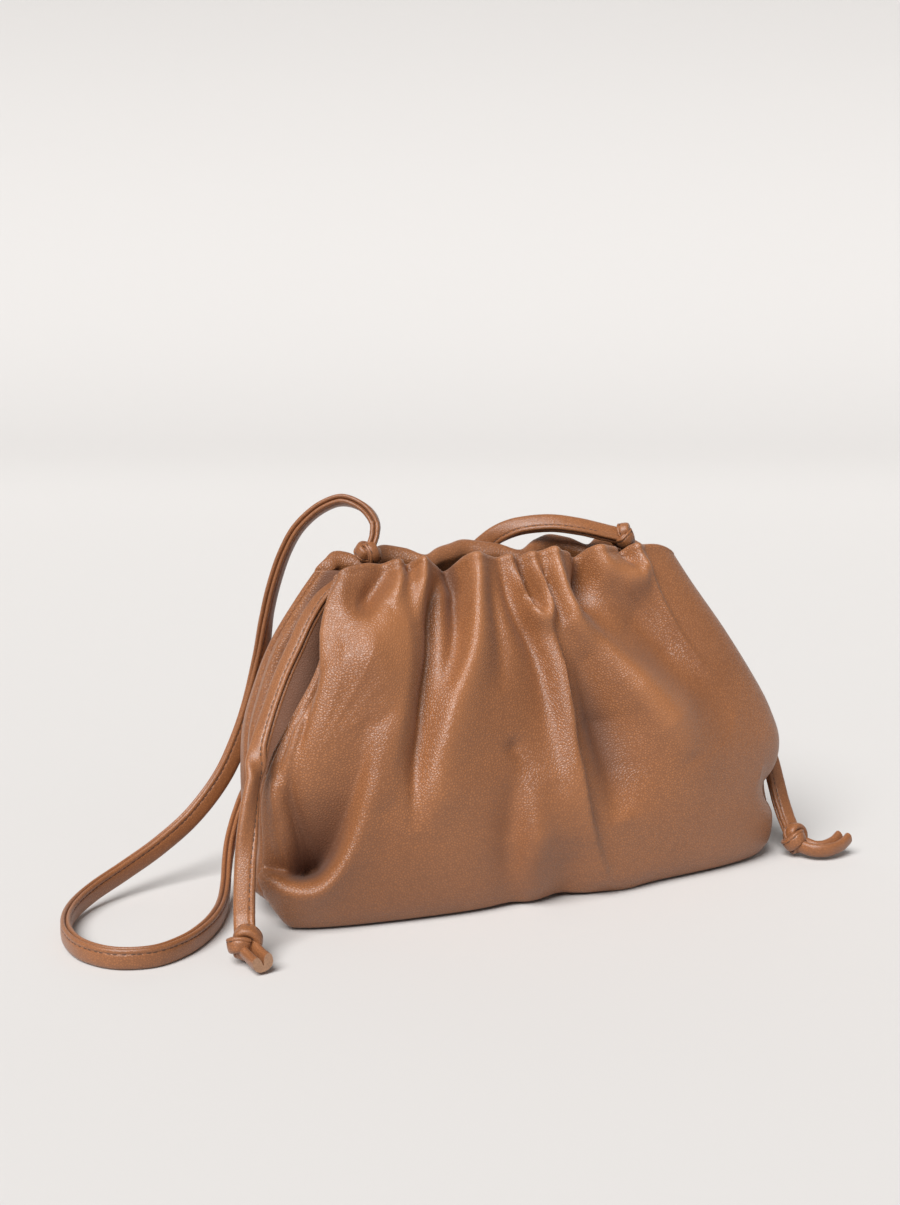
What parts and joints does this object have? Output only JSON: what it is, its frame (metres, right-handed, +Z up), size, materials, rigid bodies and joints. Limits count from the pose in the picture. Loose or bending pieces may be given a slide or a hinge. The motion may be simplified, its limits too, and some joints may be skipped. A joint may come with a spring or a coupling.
{
  "type": "gathered leather pouch bag",
  "caption": "Soft leather pouch bag with a gathered mouth, tucked side gussets, a flat base and a long knotted strap, standing with its strap laid on the floor.",
  "frame": {"origin": "middle of the underside of the bag body, without the strap", "axes": "+X to the right seen from the front, +Y to the back, +Z up"},
  "size_m": [0.3886, 0.1492, 0.1866],
  "materials": {
    "body_leather": "soft satin, fine pebbled grain",
    "strap_leather": "smooth satin, edge stitched"
  },
  "bodies": {
    "root": {"front_panel": "body_leather", "back_panel": "body_leather", "left_gusset": "body_leather", "right_gusset": "body_leather", "base_panel": "body_leather", "shoulder_strap": "strap_leather", "left_tail": "strap_leather", "right_tail": "strap_leather", "left_stopper_knot": "strap_leather", "right_stopper_knot": "strap_leather", "left_end_knot": "strap_leather", "right_end_knot": "strap_leather"}
  },
  "joints": []
}
